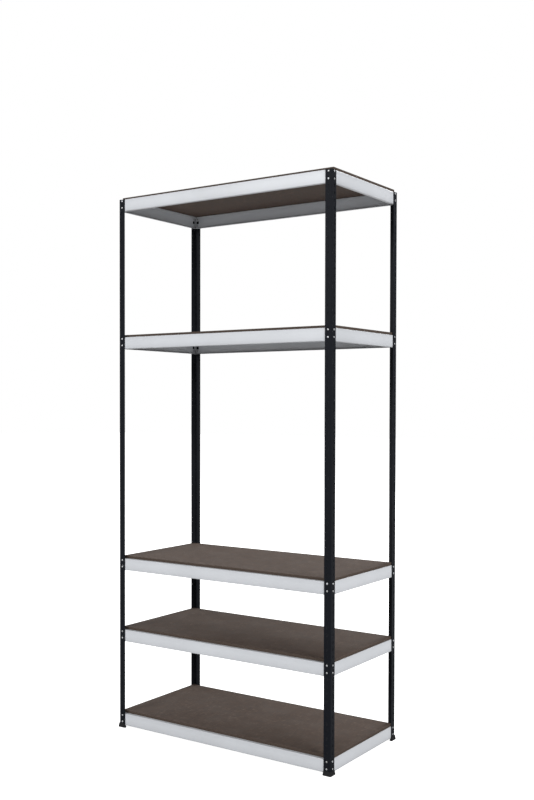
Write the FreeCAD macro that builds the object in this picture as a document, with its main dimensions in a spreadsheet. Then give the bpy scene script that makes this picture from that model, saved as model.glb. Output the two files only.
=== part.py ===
"""Boltless steel shelving, five decks high.

Four slotted angle posts stand on plastic feet.  At each level two long and
two short folded beams hook into the posts with shouldered rivets, and a
loose board lies on their top flanges.

Frame: millimetres, +Z up, origin on the floor at the middle of the
footprint.  The long side runs along X and the front faces -Y.
"""
import FreeCAD, Part
import Sketcher
import math
import os

SHELVES = 5

# alias: (millimetres or count, meaning)
SIZES = {
    "width": (915, "outside width over the posts"),
    "depth": (455, "outside depth over the posts"),
    "post_length": (1961, "length of one post"),
    "post_leg": (26, "outside width of each leg of the post"),
    "post_gauge": (1.6, "sheet thickness of the post"),
    "post_bend": (1.0, "inside radius of the post's bend"),
    "slot_pitch": (24.2, "height from one keyhole to the next"),
    "slot_line": (14, "post corner to the line of keyholes"),
    "first_seat": (21.5, "floor to the lowest rivet seat"),
    "seat_fit": (0.15, "gap round the rivet's shank in a keyhole's narrow end"),
    "eye_fit": (0.25, "gap round the rivet's head in a keyhole's wide end"),
    "eye_rise": (4.6, "rivet seat to the middle of the wide end"),
    "top_margin": (4, "least steel above the highest rivet seat"),
    "foot_sole": (3, "thickness of the foot under the post"),
    "foot_height": (15, "height of the foot's outer wall"),
    "foot_flare": (3.4, "how far the sole stands out past the post"),
    "foot_wall": (2.2, "foot wall inside the angle and past its ends"),
    "foot_draft": (8, "slope of the foot's walls in degrees"),
    "foot_fit": (0.15, "gap between the foot's socket and the post"),
    "beam_gauge": (1.2, "sheet thickness of a beam"),
    "beam_bend": (0.8, "inside radius of a beam's bends"),
    "top_flange": (24, "width of the flange that carries the deck"),
    "top_lip": (6, "depth of the lip that stiffens the top flange"),
    "low_flange": (10, "width of the bottom flange"),
    "rivet_low": (13, "beam's bottom edge to its lower rivet"),
    "clinch_room": (0.9, "gap from the upper rivet's inner end to the flange's bend"),
    "beam_fit": (0.2, "gap between a beam's face and the post"),
    "end_fit": (0.8, "gap between two beams where they meet in a corner"),
    "window_width": (12, "width of the punched window at a beam's end"),
    "window_height": (11, "height of that window"),
    "shank_radius": (1.9, "rivet shank"),
    "shank_fit": (0.05, "gap round the shank in the beam's hole"),
    "head_radius": (3.4, "rivet head outside the post"),
    "head_height": (1.6, "height of that head"),
    "head_crown": (0.8, "how much of the head's height is domed"),
    "head_fit": (0.2, "gap between the head and the post"),
    "clinch_radius": (3.3, "formed rivet end inside the beam"),
    "clinch_height": (1.0, "thickness of that end"),
    "deck_thickness": (9, "thickness of a board"),
    "deck_inset_long": (14, "long beam's face to the board's edge"),
    "deck_inset_short": (2, "short beam's face to the board's edge"),
    "deck_edge": (0.6, "chamfer round the board's top"),
    "row_1": (0, "keyhole row of shelf 1's lower rivets"),
    "row_2": (13, "the same for shelf 2"),
    "row_3": (24, "the same for shelf 3"),
    "row_4": (58, "the same for shelf 4"),
}

doc = FreeCAD.newDocument("shelving")


def fill_sheet():
    sheet = doc.addObject("Spreadsheet::Sheet", "Sizes")
    for line, (alias, (value, meaning)) in enumerate(SIZES.items(), start=1):
        sheet.set(f"A{line}", meaning)
        sheet.set(f"B{line}", str(value))
        sheet.setAlias(f"B{line}", alias)
    doc.recompute()
    return sheet


sheet = fill_sheet()

# Places that several pieces share, each worked out from the sheet.
FACE = "(Sizes.post_gauge + Sizes.beam_fit)"
END = f"({FACE} + Sizes.beam_gauge + Sizes.end_fit)"
BEAM_HEIGHT = (
    "(Sizes.rivet_low + Sizes.slot_pitch + Sizes.clinch_radius"
    " + Sizes.clinch_room + Sizes.beam_bend + Sizes.beam_gauge)"
)
BEAM_BOTTOM = "(Sizes.first_seat - Sizes.rivet_low)"
TOP_ROW = (
    "floor((Sizes.foot_sole + Sizes.post_length - Sizes.first_seat"
    " - Sizes.top_margin) / Sizes.slot_pitch)"
)
RIVET_X = f"(Sizes.slot_line - {END})"
SEAT_RADIUS = "(Sizes.shank_radius + Sizes.seat_fit)"
EYE_RADIUS = "(Sizes.head_radius + Sizes.eye_fit)"


def shelf_row(shelf):
    """Keyhole row of a shelf's lower rivets: the top shelf hangs from the last pair."""
    return f"({TOP_ROW} - 1)" if shelf == SHELVES else f"Sizes.row_{shelf}"


def shelf_rise(shelf):
    return f"({shelf_row(shelf)} * Sizes.slot_pitch)"


# ---------------------------------------------------------------- helpers

def value_of(expression):
    result = sheet.evalExpression(expression)
    return float(getattr(result, "Value", result))


def move(thing, x="0", y="0", z="0", turn=0):
    """Place an object by expressions, turned about Z."""
    spin = FreeCAD.Rotation(FreeCAD.Vector(0, 0, 1), turn)
    thing.Placement = FreeCAD.Placement(FreeCAD.Vector(), spin)
    for axis, expression in zip("xyz", (x, y, z)):
        thing.setExpression(f"Placement.Base.{axis}", expression)


def new_body(name):
    body = doc.addObject("PartDesign::Body", name)
    body.Label = name
    return body


def copy_of(master, name):
    """A second piece of the same make: a body that repeats the master's shape."""
    body = new_body(name)
    base = body.newObject("PartDesign::FeatureBase", f"{name}_base")
    base.BaseFeature = master
    base.Placement = FreeCAD.Placement()
    body.Tip = base
    return body


def origin_part(body, role):
    return next(part for part in body.Origin.OriginFeatures if part.Role == role)


def sketch_on(body, role, name, rise=None):
    sketch = body.newObject("Sketcher::SketchObject", name)
    sketch.AttachmentSupport = [(origin_part(body, role), "")]
    sketch.MapMode = "FlatFace"
    if rise:
        sketch.setExpression("AttachmentOffset.Base.z", rise)
    return sketch


def bind(sketch, kind, geometry, expression):
    """Add a dimension that follows an expression."""
    index = sketch.addConstraint(Sketcher.Constraint(kind, *geometry, value_of(expression)))
    name = f"size_{index}"
    sketch.renameConstraint(index, name)
    sketch.setExpression(f"Constraints.{name}", expression)


def pin_point(sketch, curve, end, across, up):
    """Fix one point of a curve at (across, up) from the sketch's origin."""
    for kind, axis, expression in (("DistanceX", -2, across), ("DistanceY", -1, up)):
        if expression == "0":
            sketch.addConstraint(Sketcher.Constraint("PointOnObject", curve, end, axis))
        else:
            bind(sketch, kind, (-1, 1, curve, end), expression)


def draw_outline(sketch, points):
    """Draw a closed outline of straight lines through points given as expressions."""
    places = [FreeCAD.Vector(value_of(x), value_of(y), 0) for x, y in points]
    lines = [
        sketch.addGeometry(Part.LineSegment(places[i - 1], places[i]), False)
        for i in range(len(places))
    ]
    for i, (across, up) in enumerate(points):
        following = lines[(i + 1) % len(lines)]
        sketch.addConstraint(Sketcher.Constraint("Coincident", lines[i], 2, following, 1))
        pin_point(sketch, lines[i], 2, across, up)


def draw_rectangle(sketch, left, right, low, high):
    draw_outline(sketch, [(left, low), (right, low), (right, high), (left, high)])


def draw_circle(sketch, across, up, radius):
    centre = FreeCAD.Vector(value_of(across), value_of(up), 0)
    shape = Part.Circle(centre, FreeCAD.Vector(0, 0, 1), value_of(radius))
    circle = sketch.addGeometry(shape, False)
    pin_point(sketch, circle, 3, across, up)
    bind(sketch, "Radius", (circle,), radius)


def draw_keyhole(sketch, across, seat):
    """A wide round eye over a narrow slot whose round lower end is the rivet's seat."""
    x, z = value_of(across), value_of(seat)
    narrow, wide = value_of(SEAT_RADIUS), value_of(EYE_RADIUS)
    rise = value_of("Sizes.eye_rise")
    normal = FreeCAD.Vector(0, 0, 1)
    neck = math.asin(narrow / wide)
    neck_z = z + rise - wide * math.cos(neck)
    eye_circle = Part.Circle(FreeCAD.Vector(x, z + rise, 0), normal, wide)
    seat_circle = Part.Circle(FreeCAD.Vector(x, z, 0), normal, narrow)
    eye = sketch.addGeometry(
        Part.ArcOfCircle(eye_circle, neck - math.pi / 2, 1.5 * math.pi - neck), False)
    left = sketch.addGeometry(Part.LineSegment(
        FreeCAD.Vector(x - narrow, neck_z, 0), FreeCAD.Vector(x - narrow, z, 0)), False)
    bottom = sketch.addGeometry(Part.ArcOfCircle(seat_circle, math.pi, 2 * math.pi), False)
    right = sketch.addGeometry(Part.LineSegment(
        FreeCAD.Vector(x + narrow, z, 0), FreeCAD.Vector(x + narrow, neck_z, 0)), False)
    for pair in ((eye, 2, left, 1), (left, 2, bottom, 1), (bottom, 2, right, 1), (right, 2, eye, 1)):
        sketch.addConstraint(Sketcher.Constraint("Coincident", *pair))
    for side in (left, right):
        sketch.addConstraint(Sketcher.Constraint("Vertical", side))
    for end in (1, 2):
        sketch.addConstraint(Sketcher.Constraint("Horizontal", bottom, end, bottom, 3))
    pin_point(sketch, eye, 3, across, f"{seat} + Sizes.eye_rise")
    pin_point(sketch, bottom, 3, across, seat)
    bind(sketch, "Radius", (eye,), EYE_RADIUS)
    bind(sketch, "Radius", (bottom,), SEAT_RADIUS)


def pad(body, sketch, length, name):
    feature = body.newObject("PartDesign::Pad", name)
    feature.Profile = sketch
    feature.setExpression("Length", length)
    doc.recompute()
    return feature


def cut(body, sketch, depth, name, reverse=False):
    """Pocket that has to remove material, or the build stops."""
    before = body.Shape.Volume
    feature = body.newObject("PartDesign::Pocket", name)
    feature.Profile = sketch
    feature.Reversed = reverse
    feature.setExpression("Length", depth)
    doc.recompute()
    if body.Shape.Volume >= before:
        raise RuntimeError(f"{name} removed nothing")
    return feature


def edges_along(shape, direction, places):
    """Names of the straight edges along a direction whose middles pass given places.

    A place holds one number or None for each axis.
    """
    names = []
    for index, edge in enumerate(shape.Edges, start=1):
        ends = [vertex.Point for vertex in edge.Vertexes]
        if len(ends) != 2:
            continue
        run = (ends[1] - ends[0]).normalize()
        if abs(run.dot(direction)) < 0.999:
            continue
        middle = (ends[0] + ends[1]) * 0.5
        for place in places:
            if all(want is None or abs(have - want) < 1e-4 for have, want in zip(middle, place)):
                names.append(f"Edge{index}")
    return names


def round_edges(body, base, names, radius, name):
    feature = body.newObject("PartDesign::Fillet", name)
    feature.Base = (base, names)
    feature.setExpression("Radius", radius)
    doc.recompute()
    return feature


# ------------------------------------------------------------------ posts

def make_post(name):
    """An angle of folded sheet, its two legs along +X and +Y from the corner."""
    body = new_body(name)
    leg, gauge = "Sizes.post_leg", "Sizes.post_gauge"
    section = sketch_on(body, "XY_Plane", "post_section")
    draw_outline(section, [("0", "0"), (leg, "0"), (leg, gauge),
                           (gauge, gauge), (gauge, leg), ("0", leg)])
    bar = pad(body, section, "Sizes.post_length", "post_bar")

    up = FreeCAD.Vector(0, 0, 1)
    inner = value_of(gauge)
    corner = edges_along(bar.Shape, up, [(0, 0, None)])
    outside = round_edges(body, bar, corner, f"Sizes.post_bend + {gauge}", "post_outer_bend")
    crease = edges_along(outside.Shape, up, [(inner, inner, None)])
    round_edges(body, outside, crease, "Sizes.post_bend", "post_inner_bend")

    seat = "(Sizes.first_seat - Sizes.foot_sole)"
    keyholes = []
    for plane, reverse in (("XZ_Plane", False), ("YZ_Plane", True)):
        sketch = sketch_on(body, plane, f"keyhole_{plane[:2]}")
        draw_keyhole(sketch, "Sizes.slot_line", seat)
        keyholes.append(cut(body, sketch, f"2 * {gauge}", f"keyhole_cut_{plane[:2]}", reverse))

    column = body.newObject("PartDesign::LinearPattern", "keyhole_column")
    column.Originals = keyholes
    column.Direction = (origin_part(body, "Z_Axis"), [""])
    column.Mode = "Spacing"
    column.setExpression("Offset", "Sizes.slot_pitch")
    column.setExpression("Occurrences", f"{TOP_ROW} + 1")
    body.Tip = column
    doc.recompute()
    return body


# ------------------------------------------------------------------- feet

def make_foot(name):
    """A flared plastic shoe with an angle-shaped socket, in the post's own frame."""
    body = new_body(name)
    out = "-Sizes.foot_flare"
    reach = "(Sizes.post_leg + Sizes.foot_wall)"
    inside = "(Sizes.post_gauge + Sizes.foot_wall + Sizes.foot_flare / 2)"
    section = sketch_on(body, "XY_Plane", "foot_section")
    draw_outline(section, [(out, out), (reach, out), (reach, inside),
                           (inside, inside), (inside, reach), (out, reach)])
    block = pad(body, section, "Sizes.foot_height", "foot_block")
    block.setExpression("TaperAngle", "-Sizes.foot_draft")
    doc.recompute()

    fit, gauge = "Sizes.foot_fit", "Sizes.post_gauge"
    near, far = f"-{fit}", f"(Sizes.post_leg + {fit})"
    wall = f"({gauge} + {fit})"
    socket = sketch_on(body, "XY_Plane", "foot_socket", rise="Sizes.foot_sole")
    clear_of_bend = f"({wall} + Sizes.post_bend)"
    draw_outline(socket, [(near, near), (far, near), (far, wall), (clear_of_bend, wall),
                          (wall, clear_of_bend), (wall, far), (near, far)])
    cut(body, socket, "Sizes.foot_height", "foot_socket_cut", reverse=True)

    # The wall inside the angle stops under the lowest beams.
    beyond = "2 * Sizes.post_leg"
    relief = sketch_on(body, "XY_Plane", "foot_relief", rise=f"{BEAM_BOTTOM} - Sizes.end_fit")
    draw_rectangle(relief, wall, beyond, wall, beyond)
    cut(body, relief, "Sizes.foot_height", "foot_relief_cut", reverse=True)
    return body


# ------------------------------------------------------------------ beams

def make_beam(name, length):
    """A folded channel along +X: face at y = 0, flanges towards +Y, bottom at z = 0."""
    body = new_body(name)
    gauge, flange, lip = "Sizes.beam_gauge", "Sizes.top_flange", "Sizes.top_lip"
    low, high = "Sizes.low_flange", BEAM_HEIGHT
    section = sketch_on(body, "YZ_Plane", "beam_section")
    draw_outline(section, [
        ("0", "0"), (low, "0"), (low, gauge), (gauge, gauge),
        (gauge, f"{high} - {gauge}"), (f"{flange} - {gauge}", f"{high} - {gauge}"),
        (f"{flange} - {gauge}", f"{high} - {lip}"), (flange, f"{high} - {lip}"),
        (flange, high), ("0", high),
    ])
    bar = pad(body, section, length, "beam_bar")

    along = FreeCAD.Vector(1, 0, 0)
    t, f, h = value_of(gauge), value_of(flange), value_of(high)
    outer = edges_along(bar.Shape, along, [(None, 0, 0), (None, 0, h), (None, f, h)])
    folds = round_edges(body, bar, outer, f"Sizes.beam_bend + {gauge}", "beam_outer_bends")
    inner = edges_along(folds.Shape, along,
                        [(None, t, t), (None, t, h - t), (None, f - t, h - t)])
    round_edges(body, folds, inner, "Sizes.beam_bend", "beam_inner_bends")

    mitre = sketch_on(body, "XY_Plane", "beam_mitre")
    point = f"({flange} - {gauge})"
    draw_outline(mitre, [("0", gauge), (point, flange), ("0", flange)])
    draw_outline(mitre, [(length, gauge), (length, flange), (f"{length} - {point}", flange)])
    cut(body, mitre, high, "beam_mitre_cut", reverse=True)

    ends = (RIVET_X, f"({length} - {RIVET_X})")
    holes = sketch_on(body, "XZ_Plane", "beam_rivet_holes")
    for across in ends:
        for height in ("Sizes.rivet_low", "Sizes.rivet_low + Sizes.slot_pitch"):
            draw_circle(holes, across, height, "Sizes.shank_radius + Sizes.shank_fit")
    cut(body, holes, f"2 * {gauge}", "beam_rivet_cut")

    middle = "(Sizes.rivet_low + Sizes.slot_pitch / 2)"
    windows = sketch_on(body, "XZ_Plane", "beam_windows")
    for across in ends:
        draw_rectangle(windows,
                       f"{across} - Sizes.window_width / 2", f"{across} + Sizes.window_width / 2",
                       f"{middle} - Sizes.window_height / 2", f"{middle} + Sizes.window_height / 2")
    cut(body, windows, f"2 * {gauge}", "beam_window_cut")
    return body


# ------------------------------------------------------------------ decks

def make_deck(name):
    """A board centred on the origin, its underside at z = 0."""
    body = new_body(name)
    half_x = f"(Sizes.width / 2 - {FACE} - Sizes.deck_inset_short)"
    half_y = f"(Sizes.depth / 2 - {FACE} - Sizes.deck_inset_long)"
    outline = sketch_on(body, "XY_Plane", "deck_outline")
    draw_rectangle(outline, f"-{half_x}", half_x, f"-{half_y}", half_y)
    board = pad(body, outline, "Sizes.deck_thickness", "deck_board")
    top = [
        f"Edge{index}" for index, edge in enumerate(board.Shape.Edges, start=1)
        if all(abs(v.Z - value_of("Sizes.deck_thickness")) < 1e-4 for v in edge.Vertexes)
    ]
    bevel = body.newObject("PartDesign::Chamfer", "deck_bevel")
    bevel.Base = (board, top)
    bevel.setExpression("Size", "Sizes.deck_edge")
    doc.recompute()
    return body


# ----------------------------------------------------------------- rivets

def rivet_profile():
    """Half section of a rivet: its axis is X and x = 0 is the post's outer face."""
    sketch = doc.addObject("Sketcher::SketchObject", "rivet_profile")
    back = f"-({FACE} + Sizes.beam_gauge)"
    rear = f"{back} - Sizes.clinch_height"
    brim = "Sizes.head_fit + Sizes.head_height - Sizes.head_crown"
    shoulder = "(Sizes.head_radius - Sizes.head_crown)"
    draw_outline(sketch, [
        (rear, "0"), (rear, "Sizes.clinch_radius"), (back, "Sizes.clinch_radius"),
        (back, "Sizes.shank_radius"), ("Sizes.head_fit", "Sizes.shank_radius"),
        ("Sizes.head_fit", "Sizes.head_radius"), (brim, "Sizes.head_radius"),
        ("Sizes.head_fit + Sizes.head_height", shoulder),
        ("Sizes.head_fit + Sizes.head_height", "0"),
    ])
    doc.recompute()
    return sketch


def make_rivets():
    """The sixteen rivets of shelf 1: two at each end of its four beams."""
    profile = rivet_profile()
    spots = []
    for side_x in (-1, 1):
        for side_y in (-1, 1):
            along = f"{side_x} * (Sizes.width / 2 - Sizes.slot_line)"
            spots.append((along, f"{side_y} * Sizes.depth / 2", 90 * side_y))
            along = f"{side_y} * (Sizes.depth / 2 - Sizes.slot_line)"
            spots.append((f"{side_x} * Sizes.width / 2", along, 90 - 90 * side_x))
    rivets = []
    for x, y, turn in spots:
        for height in ("Sizes.first_seat", "Sizes.first_seat + Sizes.slot_pitch"):
            rivet = doc.addObject("Part::Revolution", "rivet")
            rivet.Source = profile
            rivet.Axis = FreeCAD.Vector(1, 0, 0)
            rivet.Angle = 360
            rivet.Solid = True
            move(rivet, x, y, height, turn)
            rivets.append(rivet)
    return rivets


# --------------------------------------------------------------- assembly

HALF_X, HALF_Y = "Sizes.width / 2", "Sizes.depth / 2"
CORNERS = {
    "front_left": (f"-{HALF_X}", f"-{HALF_Y}", 0),
    "front_right": (HALF_X, f"-{HALF_Y}", 90),
    "back_right": (HALF_X, HALF_Y, 180),
    "back_left": (f"-{HALF_X}", HALF_Y, 270),
}
SIDES = {
    "front": (f"-{HALF_X} + {END}", f"-{HALF_Y} + {FACE}", 0),
    "right": (f"{HALF_X} - {FACE}", f"-{HALF_Y} + {END}", 90),
    "back": (f"{HALF_X} - {END}", f"{HALF_Y} - {FACE}", 180),
    "left": (f"-{HALF_X} + {FACE}", f"{HALF_Y} - {END}", 270),
}
BEAM_LENGTH = {
    "long": f"(Sizes.width - 2 * {END})",
    "short": f"(Sizes.depth - 2 * {END})",
}


def build():
    """Make every piece once, repeat it as a copy, and return them by name."""
    masters, pieces = {}, {}

    def piece(kind, name, maker, *place):
        if kind in masters:
            thing = copy_of(masters[kind], name)
        else:
            thing = masters[kind] = maker(name)
        move(thing, *place)
        pieces[name] = thing

    for corner, (x, y, turn) in CORNERS.items():
        piece("post", f"post_{corner}", make_post, x, y, "Sizes.foot_sole", turn)
        piece("foot", f"foot_{corner}", make_foot, x, y, "0", turn)

    rivets = make_rivets()
    for shelf in range(1, SHELVES + 1):
        bottom = f"{BEAM_BOTTOM} + {shelf_rise(shelf)}"
        for side, (x, y, turn) in SIDES.items():
            kind = "long" if side in ("front", "back") else "short"

            def maker(name, length=BEAM_LENGTH[kind]):
                return make_beam(name, length)

            piece(kind, f"beam_{side}_{shelf}", maker, x, y, bottom, turn)
        piece("deck", f"deck_{shelf}", make_deck, "0", "0", f"{bottom} + {BEAM_HEIGHT}", 0)

        group = doc.addObject("Part::Compound", f"rivets_{shelf}")
        group.Label = f"rivets_{shelf}"
        group.Links = rivets
        move(group, z=shelf_rise(shelf))
        pieces[group.Label] = group

    doc.recompute()
    return pieces


def check_and_export(pieces):
    for thing in doc.Objects:
        if "Invalid" in thing.State or "Error" in thing.State:
            raise RuntimeError(f"{thing.Name} failed: {thing.State}")
    for name, thing in pieces.items():
        if thing.Shape.isNull() or not thing.Shape.isValid() or not thing.Shape.Solids:
            raise RuntimeError(f"{name} has no sound solid")
    os.makedirs("parts", exist_ok=True)
    for name, thing in pieces.items():
        thing.Shape.exportStep(f"parts/{name}.step")
        print(name, len(thing.Shape.Solids), round(thing.Shape.Volume, 1))


check_and_export(build())
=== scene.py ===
# %% [markdown]
# # Boltless steel shelving, finished in Blender
#
# The construction comes ready-made: posts, feet, folded beams, rivets and boards, each a
# mesh of its own, in metres, standing on the floor with the long side along X and the
# front towards -Y. This lesson gives each of them its real finish, with a painted sheen and
# shade on the beams and painted shade on the boards' edges, makes the rivets again with
# rounder heads, lays a dark skin behind the keyholes as painted shade, and sets up the
# floor, the lights and the camera.

# %% Load the frame
import math
import bmesh
import bpy
from mathutils import Matrix, Vector


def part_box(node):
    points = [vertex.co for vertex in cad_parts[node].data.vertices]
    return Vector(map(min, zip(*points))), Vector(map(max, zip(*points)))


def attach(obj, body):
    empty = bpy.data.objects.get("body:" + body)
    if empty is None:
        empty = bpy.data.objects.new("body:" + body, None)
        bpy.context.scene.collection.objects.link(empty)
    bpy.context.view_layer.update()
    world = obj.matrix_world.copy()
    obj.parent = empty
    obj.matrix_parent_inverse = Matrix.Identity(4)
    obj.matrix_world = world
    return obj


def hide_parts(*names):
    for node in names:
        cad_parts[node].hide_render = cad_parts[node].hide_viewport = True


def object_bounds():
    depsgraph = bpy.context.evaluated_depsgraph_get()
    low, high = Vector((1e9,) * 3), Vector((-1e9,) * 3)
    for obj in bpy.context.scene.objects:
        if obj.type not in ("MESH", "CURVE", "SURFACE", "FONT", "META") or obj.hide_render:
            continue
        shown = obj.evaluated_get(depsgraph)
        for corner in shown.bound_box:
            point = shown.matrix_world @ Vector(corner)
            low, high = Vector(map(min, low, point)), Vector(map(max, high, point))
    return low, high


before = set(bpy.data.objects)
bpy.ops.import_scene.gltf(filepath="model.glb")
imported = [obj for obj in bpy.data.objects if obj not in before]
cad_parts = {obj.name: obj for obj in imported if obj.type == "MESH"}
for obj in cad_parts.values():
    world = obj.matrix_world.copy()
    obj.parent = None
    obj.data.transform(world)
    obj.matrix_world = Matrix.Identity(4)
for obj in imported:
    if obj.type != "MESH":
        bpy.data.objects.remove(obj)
cad_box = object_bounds()
print("pieces:", len(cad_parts))

# %% Sizes that the finishes and the rivets need
MM = 0.001
SHELVES = 5
ROW_PITCH = 24.2 * MM       # height from one keyhole to the next
RIVET_LOW = 13 * MM         # beam's bottom edge to its lower rivet
RIVET_LINE = 14 * MM        # post's corner to the line of rivets
POST_GAUGE = 1.6 * MM
BEAM_GAUGE = 1.2 * MM
BEAM_FIT = 0.2 * MM         # gap between beam and post
HEAD_RADIUS = 3.4 * MM
HEAD_HEIGHT = 1.6 * MM
HEAD_FIT = 0.2 * MM         # gap between head and post
SHANK_RADIUS = 1.9 * MM
CLINCH_RADIUS = 3.3 * MM    # formed end inside the beam
CLINCH_HEIGHT = 1.0 * MM

SIDES = ("front", "right", "back", "left")
CORNERS = ("front_left", "front_right", "back_right", "back_left")

post_low, post_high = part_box("post_front_right")
HALF_WIDTH = post_high.x
HALF_DEPTH = -post_low.y
print(f"posts stand {2 * HALF_WIDTH:.3f} m by {2 * HALF_DEPTH:.3f} m apart, outside to outside")


def new_object(name, data):
    """An object in the scene that holds that mesh, light or camera."""
    piece = bpy.data.objects.new(name, data)
    bpy.context.scene.collection.objects.link(piece)
    return piece


# %% [markdown]
# ## The camera comes first
#
# A product view is judged by its angle, so the camera is set before any finish. It stands
# off the near front corner at about chest height and looks almost level, so the top two
# boards are seen from below and the lower three from above. A small upward lens shift
# brings the whole unit into the frame while the posts stay nearly upright.

# %% Camera
CAMERA_FROM_CORNER = Vector((1.6726, -2.8302, 1.2054))
TURN = math.radians(34.2)       # to the left of straight back
TILT = math.radians(-1.204)
ROLL = math.radians(0.118)
LENS_MM = 45.87
SENSOR_MM = 36
LENS_SHIFT = 0.033              # upwards, as a part of the sensor's longer side

camera_data = bpy.data.cameras.new("camera")
camera_data.lens = LENS_MM
camera_data.sensor_width = SENSOR_MM
camera_data.shift_y = LENS_SHIFT
camera = new_object("camera", camera_data)
camera.matrix_world = (
    Matrix.Translation(Vector((HALF_WIDTH, -HALF_DEPTH, 0)) + CAMERA_FROM_CORNER)
    @ Matrix.Rotation(TURN, 4, "Z")
    @ Matrix.Rotation(math.pi / 2 + TILT, 4, "X")
    @ Matrix.Rotation(ROLL, 4, "Z")
)
bpy.context.scene.camera = camera
print("camera at", [round(c, 3) for c in camera.matrix_world.translation])

# %% [markdown]
# ## Small helpers for node trees
#
# Every finish below is a tree of shader nodes. Adding a node, setting its values and
# joining sockets are the same few lines each time, so they are written once. `fill` sets
# a node's inputs: a plain value is stored, a socket is linked. `add` makes a node first.

# %% Node helpers
def fill(tree, node, inputs):
    """inputs maps an input's name or number to a value or to a socket."""
    for name, value in dict(inputs).items():
        if isinstance(value, bpy.types.NodeSocket):
            tree.links.new(value, node.inputs[name])
        else:
            node.inputs[name].default_value = value


def add(tree, kind, inputs=(), **settings):
    """A new node with its settings and its inputs filled in."""
    node = tree.nodes.new(kind)
    for name, value in settings.items():
        setattr(node, name, value)
    fill(tree, node, inputs)
    return node


def mixed(tree, factor, first, second, blend="MIX"):
    """The colour socket of a mix of two colours."""
    node = add(tree, "ShaderNodeMix", {0: factor, 6: first, 7: second}, data_type="RGBA")
    node.blend_type = blend
    return node.outputs[2]


def number(tree, operation, *values):
    """The result of a Math node."""
    inputs = dict(enumerate(values))
    return add(tree, "ShaderNodeMath", inputs, operation=operation).outputs[0]


def spread(tree, value, low, high, to_low=0.0, to_high=1.0):
    """value's range from low to high, stretched smoothly to a new range."""
    inputs = {"Value": value, "From Min": low, "From Max": high, "To Min": to_low, "To Max": to_high}
    return add(tree, "ShaderNodeMapRange", inputs, interpolation_type="SMOOTHSTEP").outputs[0]


def spread_evenly(tree, value, low, high):
    """value's range from low to high as 0 to 1."""
    return add(tree, "ShaderNodeMapRange", {"Value": value, "From Min": low, "From Max": high}).outputs[0]


def new_group(name, inputs, outputs):
    """An empty shader group with named sockets. Returns the tree and its two end nodes."""
    tree = bpy.data.node_groups.new(name, "ShaderNodeTree")
    for label, kind, value in inputs:
        socket = tree.interface.new_socket(name=label, in_out="INPUT", socket_type=kind)
        socket.default_value = value
    for label, kind in outputs:
        tree.interface.new_socket(name=label, in_out="OUTPUT", socket_type=kind)
    return tree, tree.nodes.new("NodeGroupInput").outputs, tree.nodes.new("NodeGroupOutput").inputs


FLOAT = "NodeSocketFloat"
COLOUR = "NodeSocketColor"
VECTOR = "NodeSocketVector"
print("helpers ready")

# %% [markdown]
# ## Three effects that the finishes share
#
# **Worn edges.** Paint and zinc rub thin where sheet steel is folded or cut. The Bevel
# node gives the normal that a slightly rounded edge would have. Where it differs from the
# real normal, there is an edge, and the difference is the mask. A little noise breaks the
# line up, because wear is never even.

# %% Worn edges
def make_worn_edges():
    tree, given, result = new_group(
        "Worn edges",
        [("Place", VECTOR, (0, 0, 0)), ("Width", FLOAT, 0.001), ("Patchiness", FLOAT, 60.0)],
        [("Mask", FLOAT)],
    )
    rounded = add(tree, "ShaderNodeBevel", {"Radius": given["Width"]}, samples=4)
    flat = add(tree, "ShaderNodeNewGeometry")
    likeness = add(
        tree, "ShaderNodeVectorMath",
        {0: rounded.outputs[0], 1: flat.outputs["Normal"]}, operation="DOT_PRODUCT",
    )
    edge = spread(tree, likeness.outputs["Value"], 0.99, 0.80)
    patches = add(tree, "ShaderNodeTexNoise", {"Vector": given["Place"], "Scale": given["Patchiness"]})
    broken = spread(tree, patches.outputs["Fac"], 0.38, 0.62)
    tree.links.new(number(tree, "MULTIPLY", edge, broken), result["Mask"])
    return tree


WORN_EDGES = make_worn_edges()
print("group:", WORN_EDGES.name)

# %% [markdown]
# **Powder coat skin.** Baked powder paint isn't a mirror: it has a faint ripple like
# orange peel, a few millimetres across, and a much finer grain on top. Both go into one
# height, which a Bump node in each material turns into a normal. The same noises vary the
# colour and the gloss a little, so a long plain face isn't dead flat.

# %% Powder coat skin
def make_powder_coat():
    tree, given, result = new_group(
        "Powder coat skin",
        [
            ("Place", VECTOR, (0, 0, 0)),
            ("Colour", COLOUR, (0.5, 0.5, 0.5, 1)),
            ("Tone change", FLOAT, 0.1),
            ("Gloss change", FLOAT, 0.1),
            ("Roughness", FLOAT, 0.4),
            ("Peel size", FLOAT, 300.0),
            ("Grain size", FLOAT, 2500.0),
        ],
        [("Colour", COLOUR), ("Roughness", FLOAT), ("Height", FLOAT)],
    )
    peel = add(
        tree, "ShaderNodeTexNoise",
        {"Vector": given["Place"], "Scale": given["Peel size"], "Detail": 2.0},
    )
    grain = add(
        tree, "ShaderNodeTexNoise",
        {"Vector": given["Place"], "Scale": given["Grain size"], "Detail": 1.0},
    )
    clouds = add(tree, "ShaderNodeTexNoise", {"Vector": given["Place"], "Scale": 6.0, "Detail": 5.0})

    around_zero = number(tree, "SUBTRACT", clouds.outputs["Fac"], 0.5)
    tone = number(tree, "MULTIPLY_ADD", around_zero, given["Tone change"], 1.0)
    tinted = add(tree, "ShaderNodeVectorMath", {0: given["Colour"], "Scale": tone}, operation="SCALE")
    tree.links.new(tinted.outputs[0], result["Colour"])

    gloss = number(tree, "MULTIPLY_ADD", around_zero, given["Gloss change"], given["Roughness"])
    tree.links.new(gloss, result["Roughness"])

    fine = number(tree, "MULTIPLY", grain.outputs["Fac"], 0.35)
    tree.links.new(number(tree, "ADD", peel.outputs["Fac"], fine), result["Height"])
    return tree


POWDER_COAT = make_powder_coat()
print("group:", POWDER_COAT.name)

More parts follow.
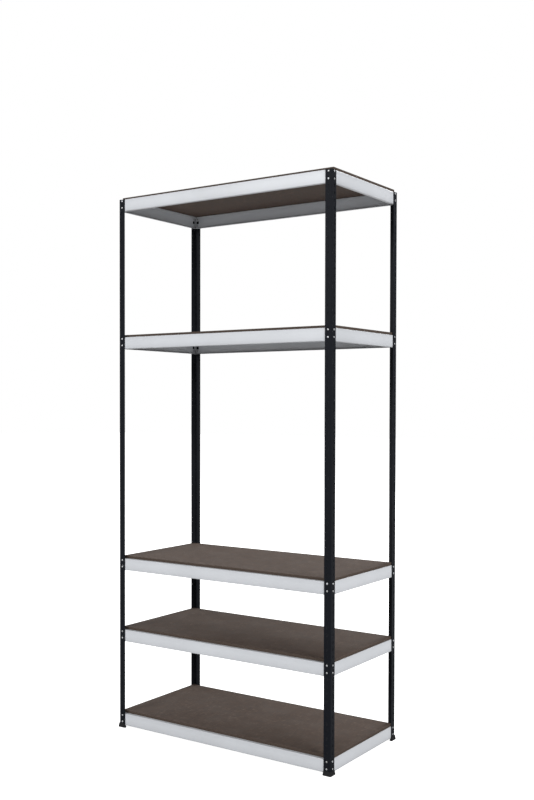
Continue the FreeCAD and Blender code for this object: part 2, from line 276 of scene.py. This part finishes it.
# %% [markdown]
# **Handling marks.** A shelf that has been put together by hand has a little dust on what
# faces up and short fine scuffs everywhere. The dust mask comes from how far the surface
# faces upwards. The scuffs are noise drawn out level, so that they run along the beams.

# %% Handling marks
def make_handling_marks():
    tree, given, result = new_group(
        "Handling marks",
        [("Place", VECTOR, (0, 0, 0)), ("Dust", FLOAT, 0.2), ("Scuffs", FLOAT, 0.2)],
        [("Dust", FLOAT), ("Scuffs", FLOAT)],
    )
    facing = add(tree, "ShaderNodeSeparateXYZ", {0: add(tree, "ShaderNodeNewGeometry").outputs["Normal"]})
    upwards = spread(tree, facing.outputs["Z"], 0.5, 1.0)
    settled = add(tree, "ShaderNodeTexNoise", {"Vector": given["Place"], "Scale": 14.0, "Detail": 6.0})
    dust = number(tree, "MULTIPLY", upwards, spread(tree, settled.outputs["Fac"], 0.35, 0.75))
    tree.links.new(number(tree, "MULTIPLY", dust, given["Dust"]), result["Dust"])

    drawn_out = add(tree, "ShaderNodeMapping", {"Vector": given["Place"], "Scale": (30.0, 30.0, 420.0)})
    lines = add(tree, "ShaderNodeTexNoise", {"Vector": drawn_out.outputs[0], "Scale": 1.0, "Detail": 3.0})
    scuffs = spread(tree, lines.outputs["Fac"], 0.66, 0.74)
    tree.links.new(number(tree, "MULTIPLY", scuffs, given["Scuffs"]), result["Scuffs"])
    return tree


HANDLING_MARKS = make_handling_marks()
print("group:", HANDLING_MARKS.name)

# %% Starting a material
def new_material(name):
    """A material with its node tree, its Principled shader and the piece's own coordinates."""
    material = bpy.data.materials.new(name)
    material.use_nodes = True
    tree = material.node_tree
    place = add(tree, "ShaderNodeTexCoord").outputs["Object"]
    return material, tree, tree.nodes["Principled BSDF"], place


def use_group(tree, group, inputs):
    """A shared effect placed in a material."""
    node = tree.nodes.new("ShaderNodeGroup")
    node.node_tree = group
    fill(tree, node, inputs)
    return node.outputs


def raise_surface(tree, shader, height, depth):
    """Height as a bump of that real depth, in metres."""
    inputs = {"Height": height, "Distance": depth}
    tree.links.new(add(tree, "ShaderNodeBump", inputs).outputs[0], shader.inputs["Normal"])


def finish_coat(tree, shader, coat, colour, sheen, depth):
    """A coated piece's colour, gloss, sheen and ripple, joined to its shader."""
    tree.links.new(colour, shader.inputs["Base Color"])
    tree.links.new(coat["Roughness"], shader.inputs["Roughness"])
    shader.inputs["Specular IOR Level"].default_value = sheen
    raise_surface(tree, shader, coat["Height"], depth)


print("ready to make materials from", [group.name for group in bpy.data.node_groups])

# %% [markdown]
# ## The posts: near-black powder coat
#
# Dark paint on a post reads through its reflections more than through its colour. The
# colour is a blue-black a little above pure black, the gloss is low, and the fold at the
# corner catches a thin lighter line. At worn edges the grey steel just begins to show.

# %% Post paint
POST_BLACK = (0.0050, 0.0060, 0.0085, 1)
RUBBED_STEEL = (0.045, 0.047, 0.054, 1)
DUST_GREY = (0.13, 0.125, 0.12, 1)


def make_post_paint():
    material, tree, shader, place = new_material("post_paint")
    coat = use_group(
        tree, POWDER_COAT,
        {"Place": place, "Colour": POST_BLACK, "Tone change": 0.6, "Gloss change": 0.3,
         "Roughness": 0.50, "Peel size": 420.0, "Grain size": 3000.0},
    )
    worn = use_group(tree, WORN_EDGES, {"Place": place, "Width": 0.0012, "Patchiness": 45.0})
    marks = use_group(tree, HANDLING_MARKS, {"Place": place, "Dust": 0.25, "Scuffs": 0.12})
    rubbed = mixed(tree, number(tree, "MULTIPLY", worn["Mask"], 0.7), coat["Colour"], RUBBED_STEEL)
    scuffed = mixed(tree, marks["Scuffs"], rubbed, RUBBED_STEEL)
    dusty = mixed(tree, marks["Dust"], scuffed, DUST_GREY)
    finish_coat(tree, shader, coat, dusty, sheen=0.05, depth=0.00008)
    return material


POST_PAINT = make_post_paint()
print("material:", POST_PAINT.name)

# %% [markdown]
# ## The beams: light grey powder coat
#
# The beams carry a pale, slightly cool grey with a soft sheen along their length: part of
# it is the shader's gloss, and part is painted. A colour ramp over the height paints sheen
# and shade into the colour, lightest at about two thirds of the height and darker towards
# both edges, most of all the lower one. It needs to know where its own beam begins and
# ends, so each shelf's four beams get a paint of their own. Edge wear shows as darker
# steel, because the paint is lighter than it.

# %% Beam paint
BEAM_GREY = (0.450, 0.464, 0.488, 1)
BARE_STEEL = (0.24, 0.25, 0.27, 1)

# Pairs of height on the beam, from 0 at its lower edge to 1 at its upper, and tone. The tones
# are painted sheen and shade: lightest at two thirds, darker towards both edges.
BEAM_SHEEN_AND_SHADE = ((0.0, 0.80), (0.14, 0.90), (0.35, 0.97), (0.62, 1.0), (0.90, 0.96), (1.0, 0.90))


def paint_sheen_and_shade_up_the_beam(tree, place, low, high):
    """Painted sheen and shade against height on one beam: full at two thirds, darker to the lower edge."""
    height = add(tree, "ShaderNodeSeparateXYZ", {0: place}).outputs["Z"]
    ramp = add(tree, "ShaderNodeValToRGB", {0: spread_evenly(tree, height, low, high)})
    stops = ramp.color_ramp.elements
    for position, _ in BEAM_SHEEN_AND_SHADE[1:-1]:
        stops.new(position)
    for stop, (position, tone) in zip(stops, BEAM_SHEEN_AND_SHADE):
        stop.position = position
        stop.color = (tone, tone, tone, 1)
    return ramp.outputs["Color"]


def make_beam_paint(shelf):
    low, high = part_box(f"beam_front_{shelf}")
    material, tree, shader, place = new_material(f"beam_paint_{shelf}")
    coat = use_group(
        tree, POWDER_COAT,
        {"Place": place, "Colour": BEAM_GREY, "Tone change": 0.16, "Gloss change": 0.25,
         "Roughness": 0.36, "Peel size": 260.0, "Grain size": 2200.0},
    )
    worn = use_group(tree, WORN_EDGES, {"Place": place, "Width": 0.0008, "Patchiness": 70.0})
    marks = use_group(tree, HANDLING_MARKS, {"Place": place, "Dust": 0.2, "Scuffs": 0.22})
    # Painted sheen and shade: the ramp's tone by height, multiplied into the grey.
    tone = paint_sheen_and_shade_up_the_beam(tree, place, low.z, high.z)
    sheen_and_shade_painted = mixed(tree, 1.0, coat["Colour"], tone, "MULTIPLY")
    rubbed = mixed(tree, number(tree, "MULTIPLY", worn["Mask"], 0.45), sheen_and_shade_painted, BARE_STEEL)
    scuffed = mixed(tree, marks["Scuffs"], rubbed, BARE_STEEL)
    dusty = mixed(tree, marks["Dust"], scuffed, DUST_GREY)
    finish_coat(tree, shader, coat, dusty, sheen=0.5, depth=0.00010)
    return material


BEAM_PAINTS = {shelf: make_beam_paint(shelf) for shelf in range(1, SHELVES + 1)}
print("materials:", [paint.name for paint in BEAM_PAINTS.values()])

# %% [markdown]
# ## The rivets: zinc plate
#
# Zinc plate is a metal finish: it has almost no colour of its own and takes its tone
# from the room. Tiny crystals in the plating change its gloss from spot to spot.

# %% Rivet zinc
ZINC = (0.42, 0.43, 0.45, 1)
TARNISH = (0.24, 0.24, 0.235, 1)


def make_rivet_zinc():
    material, tree, shader, place = new_material("rivet_zinc")
    crystals = add(tree, "ShaderNodeTexVoronoi", {"Vector": place, "Scale": 1400.0}, feature="F1")
    cloud = add(tree, "ShaderNodeTexNoise", {"Vector": place, "Scale": 90.0, "Detail": 4.0})
    worn = use_group(tree, WORN_EDGES, {"Place": place, "Width": 0.0004, "Patchiness": 300.0})
    dulled = mixed(tree, spread(tree, cloud.outputs["Fac"], 0.35, 0.75), ZINC, TARNISH)
    bright = mixed(tree, number(tree, "MULTIPLY", worn["Mask"], 0.5), dulled, ZINC)
    tree.links.new(bright, shader.inputs["Base Color"])
    gloss = spread(tree, crystals.outputs["Distance"], 0.0, 0.6, 0.30, 0.48)
    tree.links.new(gloss, shader.inputs["Roughness"])
    shader.inputs["Metallic"].default_value = 0.85
    raise_surface(tree, shader, crystals.outputs["Distance"], 0.00003)
    return material


RIVET_ZINC = make_rivet_zinc()
print("material:", RIVET_ZINC.name)

# %% [markdown]
# ## The boards: dark particle board
#
# Each board is pressed wood chips, dark brown and matt. Chips are flat flakes that lie in
# all directions, so two layers of Voronoi cells, stretched two ways, give each flake its
# own tone. Fine fibres run over them. The faces that stand sideways, the edges, are painted
# darker than the top and bottom as painted shade.

# %% Deck board
BOARD_BROWN = (0.072, 0.050, 0.039, 1)
BOARD_DARK = (0.042, 0.029, 0.023, 1)
BOARD_PALE = (0.110, 0.083, 0.068, 1)
# Painted shade for the boards' sideways edges.
BOARD_EDGE_SHADE = (0.050, 0.037, 0.030, 1)


def flakes(tree, place, scale, stretch, turn):
    """One layer of chips: a random tone for each, and how near its rim is."""
    laid = add(tree, "ShaderNodeMapping", {"Vector": place, "Rotation": (0, 0, turn), "Scale": stretch})
    cells = add(tree, "ShaderNodeTexVoronoi", {"Vector": laid.outputs[0], "Scale": scale}, feature="F1")
    tone = add(tree, "ShaderNodeSeparateXYZ", {0: cells.outputs["Color"]})
    return tone.outputs[0], cells.outputs["Distance"]


def make_deck_board():
    material, tree, shader, place = new_material("deck_board")
    long_tone, long_rim = flakes(tree, place, 160.0, (1.0, 0.28, 2.0), 0.5)
    cross_tone, cross_rim = flakes(tree, place, 210.0, (0.30, 1.0, 2.0), -0.4)
    fibres = add(
        tree, "ShaderNodeMapping",
        {"Vector": place, "Rotation": (0, 0, 0.3), "Scale": (90.0, 900.0, 900.0)},
    )
    fibre = add(tree, "ShaderNodeTexNoise", {"Vector": fibres.outputs[0], "Scale": 1.0, "Detail": 4.0})
    clouds = add(tree, "ShaderNodeTexNoise", {"Vector": place, "Scale": 5.0, "Detail": 5.0})
    marks = use_group(tree, HANDLING_MARKS, {"Place": place, "Dust": 0.10, "Scuffs": 0.15})
    worn = use_group(tree, WORN_EDGES, {"Place": place, "Width": 0.0015, "Patchiness": 90.0})

    tone = number(tree, "MULTIPLY_ADD", number(tree, "ADD", long_tone, cross_tone), 0.3, fibre.outputs["Fac"])
    dark_to_mid = mixed(tree, spread(tree, tone, 0.45, 0.95), BOARD_DARK, BOARD_BROWN)
    chips = mixed(tree, spread(tree, tone, 0.92, 1.15), dark_to_mid, BOARD_PALE)
    clouded = mixed(tree, spread(tree, clouds.outputs["Fac"], 0.3, 0.7, 0.0, 0.35), chips, BOARD_BROWN)
    rubbed = mixed(tree, number(tree, "MULTIPLY", worn["Mask"], 0.4), clouded, BOARD_DARK)
    # Faces that stand sideways get painted shade, a darker brown.
    facing = add(tree, "ShaderNodeSeparateXYZ", {0: add(tree, "ShaderNodeNewGeometry").outputs["Normal"]})
    sideways = spread(tree, number(tree, "ABSOLUTE", facing.outputs["Z"]), 0.8, 0.3)
    edge_shaded = mixed(tree, number(tree, "MULTIPLY", sideways, 0.85), rubbed, BOARD_EDGE_SHADE)
    tree.links.new(mixed(tree, marks["Dust"], edge_shaded, DUST_GREY), shader.inputs["Base Color"])

    tree.links.new(spread(tree, tone, 0.4, 1.1, 0.62, 0.80), shader.inputs["Roughness"])
    shader.inputs["Specular IOR Level"].default_value = 0.12
    rims = number(tree, "MINIMUM", long_rim, cross_rim)
    raise_surface(tree, shader, number(tree, "ADD", rims, fibre.outputs["Fac"]), 0.00025)
    return material


DECK_BOARD = make_deck_board()
print("material:", DECK_BOARD.name)

# %% [markdown]
# ## The feet: moulded black plastic
#
# Moulds for plain plastic parts are often spark-eroded, which leaves a fine even stipple.
# The plastic is matt black, and it scuffs to a dusty grey near the floor.

# %% Foot plastic
PLASTIC_BLACK = (0.007, 0.007, 0.008, 1)
PLASTIC_SCUFF = (0.030, 0.029, 0.028, 1)
SCUFF_REACH = 0.008     # height above the floor that shoes and mops reach, in metres


def make_foot_plastic():
    material, tree, shader, place = new_material("foot_plastic")
    coat = use_group(
        tree, POWDER_COAT,
        {"Place": place, "Colour": PLASTIC_BLACK, "Tone change": 0.5, "Gloss change": 0.2,
         "Roughness": 0.58, "Peel size": 1600.0, "Grain size": 5200.0},
    )
    worn = use_group(tree, WORN_EDGES, {"Place": place, "Width": 0.0009, "Patchiness": 120.0})
    height = add(tree, "ShaderNodeSeparateXYZ", {0: place}).outputs["Z"]
    near_floor = spread(tree, height, SCUFF_REACH, 0.0, 0.0, 0.5)
    patches = add(tree, "ShaderNodeTexNoise", {"Vector": place, "Scale": 160.0, "Detail": 5.0})
    scuffed = number(tree, "MULTIPLY", near_floor, spread(tree, patches.outputs["Fac"], 0.4, 0.7))
    amount = number(tree, "MAXIMUM", scuffed, number(tree, "MULTIPLY", worn["Mask"], 0.4))
    scuffed_colour = mixed(tree, amount, coat["Colour"], PLASTIC_SCUFF)
    finish_coat(tree, shader, coat, scuffed_colour, sheen=0.12, depth=0.00012)
    return material


FOOT_PLASTIC = make_foot_plastic()
print("material:", FOOT_PLASTIC.name)

# %% [markdown]
# ## Putting the finishes on the pieces
#
# A piece of the frame keeps its mesh, and only the material in its slots changes. The
# name of a piece says what it is, so the first word is enough to choose its finish.

# %% Assign the finishes
FINISHES = {"post": POST_PAINT, "foot": FOOT_PLASTIC, "deck": DECK_BOARD, "rivets": RIVET_ZINC}


def finish_for(name):
    """The finish that goes with a piece's name."""
    word = name.split("_")[0]
    if word == "beam":
        return BEAM_PAINTS[int(name.split("_")[-1])]
    return FINISHES[word]


for name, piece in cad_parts.items():
    finish = finish_for(name)
    if not piece.material_slots:
        piece.data.materials.append(finish)
    for material_slot in piece.material_slots:
        material_slot.material = finish
print({word: finish.name for word, finish in FINISHES.items()})

# %% [markdown]
# ## The rivets again, with rounder heads
#
# A rivet is a turned shape: an outline spun about an axis. The frame's rivets have a flat
# chamfered crown to keep them simple. The real head is a shallow dome with a rolled rim,
# and the end inside the beam is spread by a press, which leaves a dimple. So one rivet is
# spun here, and Geometry Nodes set it on all eighty places.

# %% One rivet
AROUND = 16             # sides of the spun shape
DOME_STEPS = 5
RIM_ROUND = 0.3 * MM
DIMPLE = 0.45 * MM
SHARP_FROM = math.radians(50)   # faces that meet at more than this stay crisp


def rivet_outline():
    """Radius and distance out from the post's face, from the head's top to the dimple."""
    crown = HEAD_HEIGHT - 2 * RIM_ROUND
    outline = [(0.0, HEAD_HEIGHT)]
    for step in range(1, DOME_STEPS + 1):
        angle = math.pi / 2 * step / DOME_STEPS
        outline.append((HEAD_RADIUS * math.sin(angle), HEAD_HEIGHT - crown * (1 - math.cos(angle))))
    inner_face = -(POST_GAUGE + BEAM_FIT + BEAM_GAUGE)
    tail = inner_face - CLINCH_HEIGHT
    outline += [
        (HEAD_RADIUS, HEAD_FIT + RIM_ROUND),
        (HEAD_RADIUS - RIM_ROUND, HEAD_FIT),
        (SHANK_RADIUS, HEAD_FIT),
        (SHANK_RADIUS, inner_face),
        (CLINCH_RADIUS, inner_face),
        (CLINCH_RADIUS - RIM_ROUND, tail),
        (SHANK_RADIUS * 0.7, tail),
        (0.0, tail + DIMPLE),
    ]
    return outline


def spin_rivet():
    """The outline turned about Z into a closed mesh that faces outwards."""
    shape = bmesh.new()
    corners = [shape.verts.new((radius, 0, out)) for radius, out in rivet_outline()]
    lines = [shape.edges.new(pair) for pair in zip(corners, corners[1:])]
    bmesh.ops.spin(
        shape, geom=corners + lines, cent=(0, 0, 0), axis=(0, 0, 1),
        angle=math.tau, steps=AROUND, use_duplicate=False,
    )
    bmesh.ops.remove_doubles(shape, verts=shape.verts, dist=0.01 * MM)
    bmesh.ops.recalc_face_normals(shape, faces=shape.faces)
    mesh = bpy.data.meshes.new("one_rivet")
    shape.to_mesh(mesh)
    shape.free()
    return mesh


rivet_mesh = spin_rivet()
print("one rivet has", len(rivet_mesh.polygons), "faces")

# %% [markdown]
# The places are worked out as they are on the real thing: two rivets at each end of each
# beam, a keyhole's pitch apart, on the line of keyholes. Each place is a vertex that
# carries its outward direction as an attribute, which turns the rivet to face that way.

# %% Places for one shelf's rivets
OUTWARDS = {"front": (0, -1, 0), "back": (0, 1, 0), "left": (-1, 0, 0), "right": (1, 0, 0)}


def rivet_places(shelf):
    """Sixteen points on the posts' outer faces and the way each one faces."""
    points, directions = [], []
    for side in SIDES:
        low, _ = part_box(f"beam_{side}_{shelf}")
        outward = Vector(OUTWARDS[side])
        along = Vector((abs(outward.y), abs(outward.x), 0))
        half_run = HALF_WIDTH if along.x else HALF_DEPTH
        face = HALF_DEPTH if along.x else HALF_WIDTH
        for end in (-1, 1):
            for step in (0, 1):
                height = low.z + RIVET_LOW + step * ROW_PITCH
                points.append(outward * face + along * end * (half_run - RIVET_LINE) + Vector((0, 0, height)))
                directions.append(outward)
    return points, directions


print("first place:", [round(c, 4) for c in rivet_places(1)[0][0]])

# %% The tree that sets rivets on their places
def make_rivet_tree():
    tree = bpy.data.node_groups.new("Set rivets", "GeometryNodeTree")
    sockets = tree.interface
    sockets.new_socket(name="Geometry", in_out="INPUT", socket_type="NodeSocketGeometry")
    sockets.new_socket(name="Rivet", in_out="INPUT", socket_type="NodeSocketObject")
    size = sockets.new_socket(name="Size", in_out="INPUT", socket_type=FLOAT)
    size.default_value = 1.0
    sockets.new_socket(name="Seed", in_out="INPUT", socket_type="NodeSocketInt")
    sockets.new_socket(name="Material", in_out="INPUT", socket_type="NodeSocketMaterial")
    sockets.new_socket(name="Geometry", in_out="OUTPUT", socket_type="NodeSocketGeometry")

    given = tree.nodes.new("NodeGroupInput").outputs
    outward = add(tree, "GeometryNodeInputNamedAttribute", {"Name": "outward"}, data_type="FLOAT_VECTOR")
    facing = add(
        tree, "FunctionNodeAlignRotationToVector", {"Vector": outward.outputs["Attribute"]}, axis="Z"
    )
    twist = add(
        tree, "FunctionNodeRandomValue",
        {"Min": (0, 0, 0), "Max": (0, 0, math.tau), "Seed": given["Seed"]}, data_type="FLOAT_VECTOR",
    )
    turned = add(
        tree, "FunctionNodeRotateRotation",
        {"Rotation": facing.outputs[0], "Rotate By": twist.outputs[0]}, rotation_space="LOCAL",
    )
    rivet = add(tree, "GeometryNodeObjectInfo", {"Object": given["Rivet"]})
    placed = add(
        tree, "GeometryNodeInstanceOnPoints",
        {"Points": given["Geometry"], "Instance": rivet.outputs["Geometry"],
         "Rotation": turned.outputs[0], "Scale": given["Size"]},
    )
    real = add(tree, "GeometryNodeRealizeInstances", {"Geometry": placed.outputs[0]})
    painted = add(
        tree, "GeometryNodeSetMaterial", {"Geometry": real.outputs[0], "Material": given["Material"]}
    )
    output = tree.nodes.new("NodeGroupOutput")
    tree.links.new(painted.outputs[0], output.inputs["Geometry"])
    return tree


RIVET_TREE = make_rivet_tree()
print("tree:", RIVET_TREE.name)

# %% Bake the rivets of every shelf
def set_inputs(modifier, values):
    """Fills a Geometry Nodes modifier's inputs by their names, through their identifiers."""
    for item in modifier.node_group.interface.items_tree:
        if item.in_out == "INPUT" and item.name in values:
            modifier[item.identifier] = values[item.name]


def bake(piece):
    """Gives the piece its evaluated shape as a plain mesh, and clears its modifiers."""
    bpy.context.view_layer.update()
    seen = piece.evaluated_get(bpy.context.evaluated_depsgraph_get())
    baked = bpy.data.meshes.new_from_object(seen)
    piece.modifiers.clear()
    piece.data = baked


def set_rivets(shelf, pattern):
    points, directions = rivet_places(shelf)
    mesh = bpy.data.meshes.new(f"rivet_heads_{shelf}")
    mesh.from_pydata(points, [], [])
    outward = mesh.attributes.new("outward", "FLOAT_VECTOR", "POINT")
    for item, direction in zip(outward.data, directions):
        item.vector = direction
    piece = new_object(f"rivet_heads_{shelf}", mesh)
    modifier = piece.modifiers.new("Set rivets", "NODES")
    modifier.node_group = RIVET_TREE
    set_inputs(modifier, {"Rivet": pattern, "Size": 1.0, "Seed": shelf, "Material": RIVET_ZINC})
    bake(piece)
    for face in piece.data.polygons:
        face.use_smooth = True
    piece.data.set_sharp_from_angle(angle=SHARP_FROM)
    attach(piece, "frame")
    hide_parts(f"rivets_{shelf}")
    return piece


pattern_rivet = new_object("pattern_rivet", rivet_mesh)
rivet_pieces = [set_rivets(shelf, pattern_rivet) for shelf in range(1, SHELVES + 1)]
bpy.data.objects.remove(pattern_rivet)
print("rivet faces:", sum(len(piece.data.polygons) for piece in rivet_pieces))

# %% [markdown]
# ## Painted shade: a dark skin behind the keyholes
#
# The keyholes run right through the posts, yet on the unit they read as dim marks, with
# nothing bright behind them. A dark skin a tenth of a millimetre thick, laid in the gap
# between a post's inside and the beams' faces, stands in for the shade inside the post and
# follows the post's own fold. It is painted shade only: a real post has none, and the
# rivets pass through it.

# %% Painted-shade skin in each post
LEG = 26 * MM
POST_BEND = 1.0 * MM
SKIN = 0.1 * MM
SKIN_INSET = 0.5 * MM       # how far the skin stops short of the post's edges
BEND_STEPS = 4
# The skin's grey is painted shade, for the dark inside of the post behind each keyhole.
SHADE_SKIN_GREY = (0.0095, 0.0105, 0.0130, 1)


def make_skin_shade():
    material, tree, shader, place = new_material("keyhole_shade")
    coat = use_group(
        tree, POWDER_COAT,
        {"Place": place, "Colour": SHADE_SKIN_GREY, "Tone change": 0.8, "Gloss change": 0.2,
         "Roughness": 0.6, "Peel size": 500.0, "Grain size": 3000.0},
    )
    finish_coat(tree, shader, coat, coat["Colour"], sheen=0.05, depth=0.00005)
    return material


def fold_line(offset):
    """The inside of a post's fold, seen from above, that far in from its inner faces."""
    start = POST_GAUGE + offset
    centre = POST_GAUGE + POST_BEND
    radius = POST_BEND - offset
    line = [(LEG - SKIN_INSET, start)]
    for step in range(BEND_STEPS + 1):
        angle = math.pi / 2 * (3 - step / BEND_STEPS)
        line.append((centre + radius * math.cos(angle), centre + radius * math.sin(angle)))
    line.append((start, LEG - SKIN_INSET))
    return line


def make_shade_skin(corner, material):
    low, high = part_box(f"post_{corner}")
    side_x = 1 if "right" in corner else -1
    side_y = 1 if "back" in corner else -1
    outline = fold_line(0.0) + fold_line(SKIN)[::-1]
    shape = bmesh.new()
    bottom = [
        shape.verts.new((side_x * (HALF_WIDTH - u), side_y * (HALF_DEPTH - v), low.z + SKIN_INSET))
        for u, v in outline
    ]
    base = shape.faces.new(bottom)
    raised = bmesh.ops.extrude_face_region(shape, geom=[base])["geom"]
    top = [item for item in raised if isinstance(item, bmesh.types.BMVert)]
    lift = Vector((0, 0, high.z - low.z - 2 * SKIN_INSET))
    bmesh.ops.translate(shape, verts=top, vec=lift)
    bmesh.ops.recalc_face_normals(shape, faces=shape.faces)
    mesh = bpy.data.meshes.new(f"post_skin_{corner}")
    shape.to_mesh(mesh)
    shape.free()
    mesh.materials.append(material)
    skin = new_object(f"post_skin_{corner}", mesh)
    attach(skin, "frame")
    return skin


skin_shade = make_skin_shade()
shade_skins = [make_shade_skin(corner, skin_shade) for corner in CORNERS]
print("skins:", [skin.name for skin in shade_skins])

# %% [markdown]
# ## Floor and light
#
# The studio is plain: a wide pale floor that runs out to a white surround, so that no
# horizon line shows. The surround also gives a weak even light. Four large soft panels, far
# off, do most of the lighting. The two strong ones stand in front and on the right, and
# weaker ones behind and on the left keep those sides from going dark.

# %% Floor
FLOOR_SIZE = 60.0
FLOOR_DROP = 0.5 * MM
FLOOR_DULL = (0.54, 0.54, 0.54, 1)
FLOOR_PALE = (0.60, 0.60, 0.60, 1)
FLOOR_LIFT = 0.94       # how much brighter the floor looks than it lights the unit


def make_floor():
    half = FLOOR_SIZE / 2
    mesh = bpy.data.meshes.new("studio_floor")
    corners = [(-half, -half), (half, -half), (half, half), (-half, half)]
    mesh.from_pydata([(x, y, -FLOOR_DROP) for x, y in corners], [], [(0, 1, 2, 3)])
    floor = new_object("studio_floor", mesh)
    material, tree, shader, place = new_material("studio_floor")
    speckle = add(tree, "ShaderNodeTexNoise", {"Vector": place, "Scale": 3.0, "Detail": 4.0})
    tone = mixed(tree, speckle.outputs["Fac"], FLOOR_DULL, FLOOR_PALE)
    tree.links.new(tone, shader.inputs["Base Color"])
    shader.inputs["Roughness"].default_value = 0.9
    shader.inputs["Specular IOR Level"].default_value = 0.1
    seen = add(tree, "ShaderNodeLightPath").outputs["Is Camera Ray"]
    tree.links.new(number(tree, "MULTIPLY", seen, FLOOR_LIFT), shader.inputs["Emission Strength"])
    shader.inputs["Emission Color"].default_value = (1, 1, 1, 1)
    mesh.materials.append(material)


make_floor()
print("floor:", FLOOR_SIZE, "m across")

# %% Lights
SURROUND = 0.50     # the surround's light on the unit, where the camera sees it as 1


def make_panel(name, place, size, power):
    """A soft square light that faces the middle of the unit."""
    light = bpy.data.lights.new(name, "AREA")
    light.shape = "SQUARE"
    light.size = size
    light.energy = power
    panel = new_object(name, light)
    target = Vector((0, 0, cad_box[1][2] / 2))
    panel.location = place
    panel.rotation_euler = (target - Vector(place)).to_track_quat("-Z", "Y").to_euler()
    panel.visible_camera = False


def make_surround(brightness):
    world = bpy.data.worlds.new("studio")
    world.use_nodes = True
    tree = world.node_tree
    backdrop = tree.nodes["Background"]
    backdrop.inputs["Color"].default_value = (1, 1, 1, 1)
    seen = add(tree, "ShaderNodeLightPath").outputs["Is Camera Ray"]
    lit = add(tree, "ShaderNodeMapRange", {"Value": seen, "To Min": brightness, "To Max": 1.0})
    tree.links.new(lit.outputs[0], backdrop.inputs["Strength"])
    bpy.context.scene.world = world


make_surround(SURROUND)
make_panel("front_panel", (-4.0, -13.0, 6.0), 5.0, 1400)
make_panel("side_panel", (12.0, -3.0, 4.5), 5.0, 1300)
make_panel("back_panel", (0.0, 9.5, 7.5), 4.0, 750)
make_panel("left_panel", (-9.5, 3.0, 4.0), 4.0, 400)
bpy.context.scene.view_settings.view_transform = "Standard"
print("lights:", [light.name for light in bpy.data.lights])
